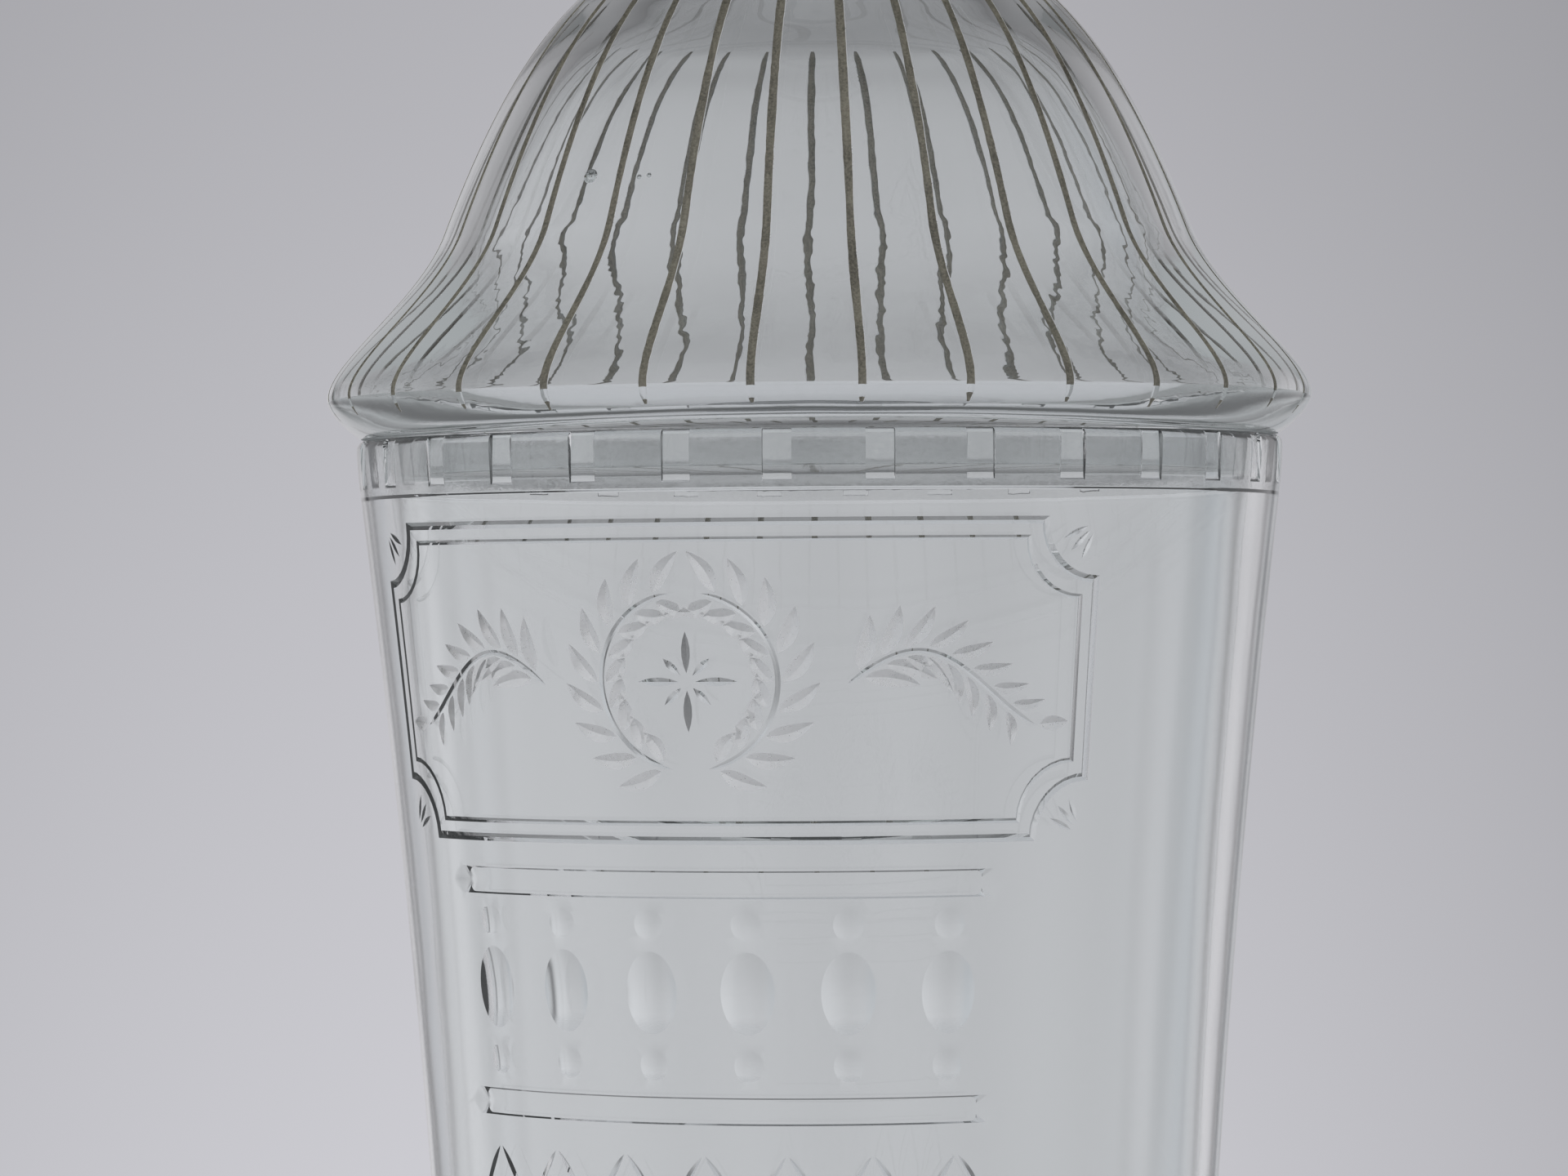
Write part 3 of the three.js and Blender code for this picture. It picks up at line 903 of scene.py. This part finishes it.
def rewind(ring):
    """The same ring started at its smallest angle, for joining by order of angle"""
    ids, angles = ring
    angles = angles % TURN
    order = np.argsort(angles, kind="stable")
    return ids[order], angles[order]


# Pieces

def bubble_mesh(centre, radius):
    """A small closed sphere that faces inwards, in metres"""
    made = bmesh.new()
    bmesh.ops.create_uvsphere(made, u_segments=20, v_segments=10, radius=1)
    for vertex in made.verts:
        vertex.co = Vector([c * (radius * MM) for c in vertex.co]) + Vector([c * MM for c in centre])
    bmesh.ops.reverse_faces(made, faces=made.faces)
    mesh = bpy.data.meshes.new("bubble")
    made.to_mesh(mesh)
    made.free()
    return mesh


def place_object(name, data, location=(0, 0, 0)):
    made = bpy.data.objects.new(name, data)
    made.location = location
    bpy.context.scene.collection.objects.link(made)
    return made


def make_piece(name, skin, bubbles=()):
    mesh = bpy.data.meshes.new(name)
    mesh.from_pydata((np.array(skin.points) * MM).tolist(), [], skin.faces)
    for material in shared_materials():
        mesh.materials.append(material)
    mesh.polygons.foreach_set("material_index", skin.finishes)
    work = bmesh.new()
    work.from_mesh(mesh)
    bmesh.ops.remove_doubles(work, verts=work.verts, dist=2e-6)
    bmesh.ops.recalc_face_normals(work, faces=work.faces)
    open_edges = sum(1 for e in work.edges if len(e.link_faces) != 2)
    if open_edges:
        raise RuntimeError(f"{name} has {open_edges} open edges")
    for centre, radius in bubbles:
        bubble = bubble_mesh(centre, radius)
        work.from_mesh(bubble)
        bpy.data.meshes.remove(bubble)
    for face in work.faces:
        face.smooth = True
    work.to_mesh(mesh)
    work.free()
    mesh.set_sharp_from_angle(angle=SHARP_ANGLE)
    return place_object(name, mesh)


# Materials

class Nodes:
    """Fills one node tree and lays it out from left to right"""

    spacing = 220

    def __init__(self, tree):
        self.tree = tree
        self.columns = {}
        tree.nodes.clear()

    def add(self, kind, entries=(), **traits):
        """Adds a node; an entry is a value, an output, or a node that stands for its first output"""
        made = self.tree.nodes.new(kind)
        column = 0
        for name, value in traits.items():
            setattr(made, name, value)
        for name, value in dict(entries).items():
            if isinstance(value, bpy.types.Node):
                value = value.outputs[0]
            if isinstance(value, bpy.types.NodeSocket):
                self.tree.links.new(value, made.inputs[name])
                column = max(column, self.columns[value.node.name] + 1)
            else:
                made.inputs[name].default_value = value
        self.columns[made.name] = column
        row = list(self.columns.values()).count(column)
        made.location = (self.spacing * column, -self.spacing * row)
        return made

    def calc(self, operation, *entries):
        return self.add("ShaderNodeMath", enumerate(entries), operation=operation)

    def object_place(self):
        place = self.tree.nodes.get("place") or self.add("ShaderNodeTexCoord", name="place")
        return place.outputs["Object"]

    def height(self):
        return self.add("ShaderNodeSeparateXYZ", {0: self.object_place()}).outputs["Z"]

    def grain(self, scale, detail, **entries):
        return self.add("ShaderNodeTexNoise", {
            "Vector": self.object_place(), "Scale": scale, "Detail": detail, **entries})

    def spread(self, value, low, high, to_low=0.0, to_high=1.0, **traits):
        """Maps low to to_low and high to to_high, and stops at both"""
        return self.add("ShaderNodeMapRange", {
            "Value": value, "From Min": low, "From Max": high, "To Min": to_low, "To Max": to_high}, **traits)

    def mix_colour(self, share, first, second):
        return self.add("ShaderNodeMix", {0: share, 6: first, 7: second}, data_type="RGBA").outputs[2]

    def mix_shader(self, share, first, second):
        return self.add("ShaderNodeMixShader", {0: share, 1: first, 2: second})

    def ramp(self, value, stops):
        """Colour by value, through stops of (value, colour)"""
        made = self.add("ShaderNodeValToRGB", {"Fac": value})
        elements = made.color_ramp.elements
        while len(elements) < len(stops):
            elements.new(0.5)
        for element, (position, tone) in zip(elements, stops):
            element.position = position
            element.color = tone
        return made

    def group(self, name, values=()):
        """Places a shared node group, which is built the first time, and returns its outputs"""
        made = self.add("ShaderNodeGroup")
        made.node_tree = bpy.data.node_groups.get(name) or GROUPS[name]()
        for label, value in dict(values).items():
            made.inputs[label].default_value = value
        return made.outputs


WHITE = (1.0, 1.0, 1.0, 1.0)
# What every surface group puts out
SURFACE_OUTPUTS = ("Color", "Roughness", "Height")


def new_group(name, inputs, outputs):
    """A new shader node group; returns its nodes and its inputs"""
    group = bpy.data.node_groups.new(name, "ShaderNodeTree")
    for label, value in inputs.items():
        kind = "NodeSocketColor" if isinstance(value, tuple) else "NodeSocketFloat"
        group.interface.new_socket(label, in_out="INPUT", socket_type=kind).default_value = value
    for label in outputs:
        kind = "NodeSocketColor" if label == "Color" else "NodeSocketFloat"
        group.interface.new_socket(label, in_out="OUTPUT", socket_type=kind)
    nodes = Nodes(group)
    return nodes, nodes.add("NodeGroupInput").outputs


def glass_surface_group():
    """Blown and polished glass: slow waves, short ripples and a faint bloom of fine marks"""
    nodes, given = new_group(
        "Glass surface",
        {"Wave length": 40.0, "Wave height": 1.0, "Bloom": 0.01, "Tint": WHITE, "Tint spread": 0.01,
         "Ripple": 0.0}, SURFACE_OUTPUTS)
    slow = nodes.grain(given["Wave length"], 1.5, Roughness=0.4)
    waves = nodes.calc("MULTIPLY", slow, given["Wave height"])
    # The ripples fade towards the crown
    ripple = nodes.calc("MULTIPLY", nodes.spread(nodes.height(), 0.262, 0.24, 0.3), given["Ripple"])
    marks = nodes.spread(nodes.grain(900.0, 3.0), 0.62, 0.8)
    tinted = nodes.calc("MULTIPLY", slow, given["Tint spread"])
    nodes.add("NodeGroupOutput", {
        "Color": nodes.mix_colour(tinted, given["Tint"], (0.7, 0.75, 0.76, 1)),
        "Roughness": nodes.calc("MULTIPLY", marks, given["Bloom"]),
        "Height": nodes.calc("MULTIPLY_ADD", nodes.grain(330.0, 1.0), ripple, waves)})
    return nodes.tree


def wheel_grain_group():
    """The grain that a grinding wheel leaves: mottled colour, roughness and height"""
    nodes, given = new_group(
        "Wheel grain",
        {"Grain size": 900.0, "Light": WHITE, "Dark": (0.5, 0.5, 0.5, 1), "Smoothest": 0.3, "Roughest": 0.6},
        SURFACE_OUTPUTS)
    grain = nodes.grain(given["Grain size"], 2.0, Roughness=0.6)
    blend = nodes.add("ShaderNodeMix", {0: 0.35, 2: grain, 3: nodes.grain(160.0, 2.0)}, data_type="FLOAT")
    share = nodes.spread(blend, 0.35, 0.65)
    nodes.add("NodeGroupOutput", {
        "Color": nodes.mix_colour(share, given["Dark"], given["Light"]),
        "Roughness": nodes.spread(share, 0.0, 1.0, given["Smoothest"], given["Roughest"]),
        "Height": grain})
    return nodes.tree


def painted_glow_group():
    """A painted glow in the room's mean tone, by height up the object, for light thrown back many times
    inside the cover's glass
    """
    nodes, _ = new_group("Painted glow by height", {}, ("Color",))
    stops = [(height, (0.92 * share, 0.975 * share, share, 1)) for height, share in (
        (0.2075, 0.04), (0.21, 0.26), (0.235, 0.43), (0.26, 0.36), (0.274, 0.04), (0.284, 0.2))]
    nodes.add("NodeGroupOutput", {"Color": nodes.ramp(nodes.height(), stops)})
    return nodes.tree


GROUPS = {"Glass surface": glass_surface_group, "Wheel grain": wheel_grain_group,
          "Painted glow by height": painted_glow_group}


def glass_material(name, tint, group, values, bump, distance=0.0001, through=1.0):
    """Clear or ground glass: the shader itself, a shared surface group and light let through"""
    material = bpy.data.materials.new(name)
    material.use_nodes = True
    nodes = Nodes(material.node_tree)
    surface = nodes.group(group, values)
    relief = nodes.add("ShaderNodeBump", {
        "Strength": bump, "Distance": distance, "Height": surface["Height"]})
    shader = nodes.add("ShaderNodeBsdfPrincipled", {
        "Base Color": surface["Color"], "Roughness": surface["Roughness"], "Normal": relief,
        "Metallic": 0.0, "IOR": GLASS_INDEX, "Transmission Weight": through})
    shader.inputs["Base Color"].default_value = (*tint, 1)
    path = nodes.add("ShaderNodeLightPath").outputs
    thrown_back = nodes.calc("GREATER_THAN", path["Glossy Depth"], THROWN_BACK)
    # Painted glow: rays thrown back too often give out this tone as light instead of black
    painted_glow = nodes.add("ShaderNodeEmission", {"Color": nodes.group("Painted glow by height")["Color"]})
    lit = nodes.mix_shader(thrown_back, shader, painted_glow)
    shadow = (*[0.55 + 0.4 * channel for channel in tint], 1)
    passed = nodes.add("ShaderNodeBsdfTransparent", {"Color": shadow})
    nodes.add("ShaderNodeOutputMaterial", {"Surface": nodes.mix_shader(path["Is Shadow Ray"], lit, passed)})
    material.cycles.emission_sampling = "NONE"
    return material


def glass_materials(colours):
    """One material for each finish, in the order of the finishes"""
    clear, matt = tuple(colours.clear), tuple(colours.matt)
    flute, ground = tuple(colours.flute), tuple(colours.ground)

    def worked(name, tint, wheel, shares, polish, bump, through=1.0):
        """Glass as a wheel leaves it: its lightest and darkest tint, its smoothest and roughest"""
        light, dark = ((*[c * share for c in tint], 1) for share in shares)
        values = {"Grain size": wheel, "Light": light, "Dark": dark,
                  "Smoothest": polish[0], "Roughest": polish[1]}
        return glass_material(name, tint, "Wheel grain", values, bump, through=through)

    blown = {"Wave length": 38.0, "Bloom": 0.02, "Tint": (*clear, 1), "Tint spread": 0.02}
    return [
        glass_material("polished_glass", clear, "Glass surface", blown, 0.1, 0.0005),
        worked("matt_engraving", matt, 1500.0, (1.0, 0.9), (0.25, 0.38), 0.15, through=0.6),
        # Flutes: near-opaque dark grey-brown, residue in the cuts with painted shade of the grooves
        worked("flute_glass", flute, 2600.0, (1.7, 0.45), (0.3, 0.5), 0.3, through=0.35),
        worked("ground_glass", ground, 1300.0, (1.0, 0.7), (0.35, 0.5), 0.2),
        # Fitted band: tinted darker than the clear glass, painted shade where the flange sits in the mouth
        worked("fitted_glass", clear, 1300.0, (0.82, 0.75), (0.05, 0.1), 0.1),
        glass_material("blown_glass", clear, "Glass surface", {**blown, "Ripple": 0.35}, 0.1, 0.0005),
    ]


def shared_materials():
    made = [bpy.data.materials.get(name) for name in MATERIALS]
    return made if all(made) else glass_materials(settings().colours)


# Stage

def build_world(stage):
    world = bpy.data.worlds.new("studio")
    bpy.context.scene.world = world
    world.use_nodes = True
    nodes = Nodes(world.node_tree)
    calc = nodes.calc

    place = nodes.add("ShaderNodeTexCoord").outputs["Generated"]
    x, y, z = nodes.add("ShaderNodeSeparateXYZ", {0: place}).outputs
    azimuth = calc("MULTIPLY", calc("ARCTAN2", x, y), PANELS_ROUND)
    swing, aside = calc("COSINE", azimuth), calc("SINE", azimuth)
    height = nodes.spread(z, -1.0, 1.0)

    def by_height(*stops):
        """Brightness by the sine of the height above level"""
        return nodes.ramp(height, [((sine + 1) / 2, (share, share, share, 1)) for sine, share in stops])

    def background(colour, strength):
        return nodes.add("ShaderNodeBackground", {"Color": colour, "Strength": strength})

    # The backdrop as it is seen past the vase: brightest behind it, duller to one side and up
    level = calc("ADD", calc("MULTIPLY_ADD", swing, 0.326, 0.674), calc("MULTIPLY", aside, -0.065))
    seen_height = by_height((-0.5, 1.02), (-0.096, 1.0), (0.0, 0.88), (0.096, 0.73), (0.4, 0.55))
    direct = background((*stage.backdrop, 1), calc("MULTIPLY", level, seen_height))

    # The room as the glass gathers it: lit panels with narrow dark stands between them behind the
    # vase, a duller strip to one side of each, and a dark ceiling
    near_level = by_height((-0.45, 0.0), (-0.2, 0.8), (0.12, 0.8), (0.26, 0.0))
    behind = calc("MULTIPLY", near_level, nodes.spread(y, 0.0, 0.35))
    stand_sharpness, strip_sharpness, strip_share = 18.0, 12.0, 0.4
    between = calc("POWER", calc("MULTIPLY_ADD", swing, -0.5, 0.5), stand_sharpness)
    lit = calc("SUBTRACT", 1.0, calc("MULTIPLY", between, behind))
    beside = calc("MULTIPLY_ADD", aside, 0.464, calc("MULTIPLY_ADD", swing, -0.187, 0.5))
    strip = calc("MULTIPLY", calc("POWER", beside, strip_sharpness), calc("MULTIPLY", behind, strip_share))
    room_height = by_height(
        (-0.7, 1.0), (-0.14, 1.07), (0.0, 0.97), (0.07, 0.95), (0.105, 0.92), (0.156, 0.85), (0.225, 0.73),
        (0.29, 0.64), (0.41, 0.53), (0.485, 0.46), (0.7, 0.24), (1.0, 0.2))
    sideways = calc("MULTIPLY_ADD", aside, -0.06, calc("MULTIPLY_ADD", swing, -0.116, 1.116))
    gathered = background(nodes.mix_colour(strip, (*stage.room, 1), (*stage.shade, 1)),
                          calc("MULTIPLY", calc("MULTIPLY", room_height, sideways), lit))

    plain = background((0.97, 0.985, 1, 1), 0.5)
    path = nodes.add("ShaderNodeLightPath").outputs
    through = calc("MAXIMUM", path["Is Glossy Ray"], path["Is Transmission Ray"])
    inner = nodes.mix_shader(through, plain, gathered)
    nodes.add("ShaderNodeOutputWorld", {"Surface": nodes.mix_shader(path["Is Camera Ray"], inner, direct)})


def floor_material(stage):
    """A pale matt floor that fades into the backdrop towards its edge"""
    material = bpy.data.materials.new("pale_floor")
    material.use_nodes = True
    nodes = Nodes(material.node_tree)
    reach = nodes.add("ShaderNodeVectorMath", {0: nodes.object_place()}, operation="LENGTH").outputs["Value"]
    edge = nodes.spread(reach, stage.floor_radius * 0.3, stage.floor_radius, interpolation_type="SMOOTHSTEP")
    shader = nodes.add("ShaderNodeBsdfPrincipled", {"Base Color": (*stage.floor_colour, 1), "Roughness": 0.6})
    clear = nodes.add("ShaderNodeBsdfTransparent")
    nodes.add("ShaderNodeOutputMaterial", {"Surface": nodes.mix_shader(edge, shader, clear)})
    return material


def build_floor(stage):
    made = bmesh.new()
    bmesh.ops.create_circle(made, cap_ends=True, segments=96, radius=stage.floor_radius)
    mesh = bpy.data.meshes.new("floor")
    made.to_mesh(mesh)
    made.free()
    mesh.materials.append(floor_material(stage))
    floor = place_object("floor", mesh, (0, 0, CAD_BOX[0][2] - 0.0002))


def build_lamp():
    lamp = bpy.data.lights.new("soft_lamp", "AREA")
    lamp.shape = "DISK"
    lamp.size = 1.2
    lamp.energy = 9
    holder = place_object("soft_lamp", lamp, (-0.7, -0.5, 1.7))
    holder.rotation_euler = (Vector((0, 0, 0.15)) - holder.location).to_track_quat("-Z", "Y").to_euler()
    holder.visible_camera = holder.visible_glossy = holder.visible_transmission = False


def build_camera(stage):
    lens = bpy.data.cameras.new("photo_view")
    lens.lens = stage.lens
    lens.sensor_fit = "HORIZONTAL"
    lens.sensor_width = 36
    lens.clip_start = 0.05
    holder = place_object("photo_view", lens, stage.eye)
    holder.rotation_euler = (math.pi / 2, stage.roll, 0)
    bpy.context.scene.camera = holder


# Operators and panel

class COVEREDVASE_OT_stage(bpy.types.Operator):
    """Sets up the camera, the pale floor and the soft studio light"""

    bl_idname = "covered_vase.stage"
    bl_label = "Set up the stage"

    def execute(self, context):
        stage = settings().stage
        context.scene.view_settings.view_transform = "Standard"
        build_camera(stage)
        build_world(stage)
        build_lamp()
        build_floor(stage)
        return {"FINISHED"}


class COVEREDVASE_OT_body(bpy.types.Operator):
    """Makes the vase body with its notched rim and engraved front"""

    bl_idname = "covered_vase.body"
    bl_label = "Make the vase"

    def execute(self, context):
        choice = settings()
        piece = make_piece("vase_glass", build_body(choice.vase, choice.engraving))
        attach(piece, "vase")
        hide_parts("vase_body")
        return {"FINISHED"}


class COVEREDVASE_OT_cover(bpy.types.Operator):
    """Makes the fluted cover with its flange and knop"""

    bl_idname = "covered_vase.cover"
    bl_label = "Make the cover"

    def execute(self, context):
        choice = settings()
        piece = make_piece("cover_glass", build_cover(choice.cover, choice.vase), SEED_BUBBLES)
        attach(piece, "cover")
        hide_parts("cover_dome", "knop_collar", "knop_ball")
        return {"FINISHED"}


class COVEREDVASE_PT_panel(bpy.types.Panel):
    """Lists the sizes, the colours and the steps that make the vase"""

    bl_idname = "COVEREDVASE_PT_panel"
    bl_label = "Covered vase"
    bl_space_type = "VIEW_3D"
    bl_region_type = "UI"
    bl_category = "Covered vase"

    def draw(self, context):
        choice = settings()
        for title, group in (("Vase", choice.vase), ("Cover", choice.cover),
                             ("Engraving", choice.engraving), ("Colours", choice.colours),
                             ("Stage", choice.stage)):
            box = self.layout.box()
            box.label(text=title)
            for name in group.__annotations__:
                box.prop(group, name)
        for operator in (COVEREDVASE_OT_stage, COVEREDVASE_OT_body, COVEREDVASE_OT_cover):
            self.layout.operator(operator.bl_idname)


CLASSES = (VaseSizes, CoverSizes, EngravingSizes, GlassColours, StageSettings, CoveredVaseSettings,
           COVEREDVASE_OT_stage, COVEREDVASE_OT_body, COVEREDVASE_OT_cover, COVEREDVASE_PT_panel)


def register():
    for cls in CLASSES:
        bpy.utils.register_class(cls)
    bpy.types.Scene.covered_vase = bpy.props.PointerProperty(type=CoveredVaseSettings)


def unregister():
    del bpy.types.Scene.covered_vase
    for cls in reversed(CLASSES):
        bpy.utils.unregister_class(cls)


def main():
    register()
    bpy.ops.covered_vase.stage()
    bpy.ops.covered_vase.body()
    bpy.ops.covered_vase.cover()


if __name__ == "__main__":
    main()
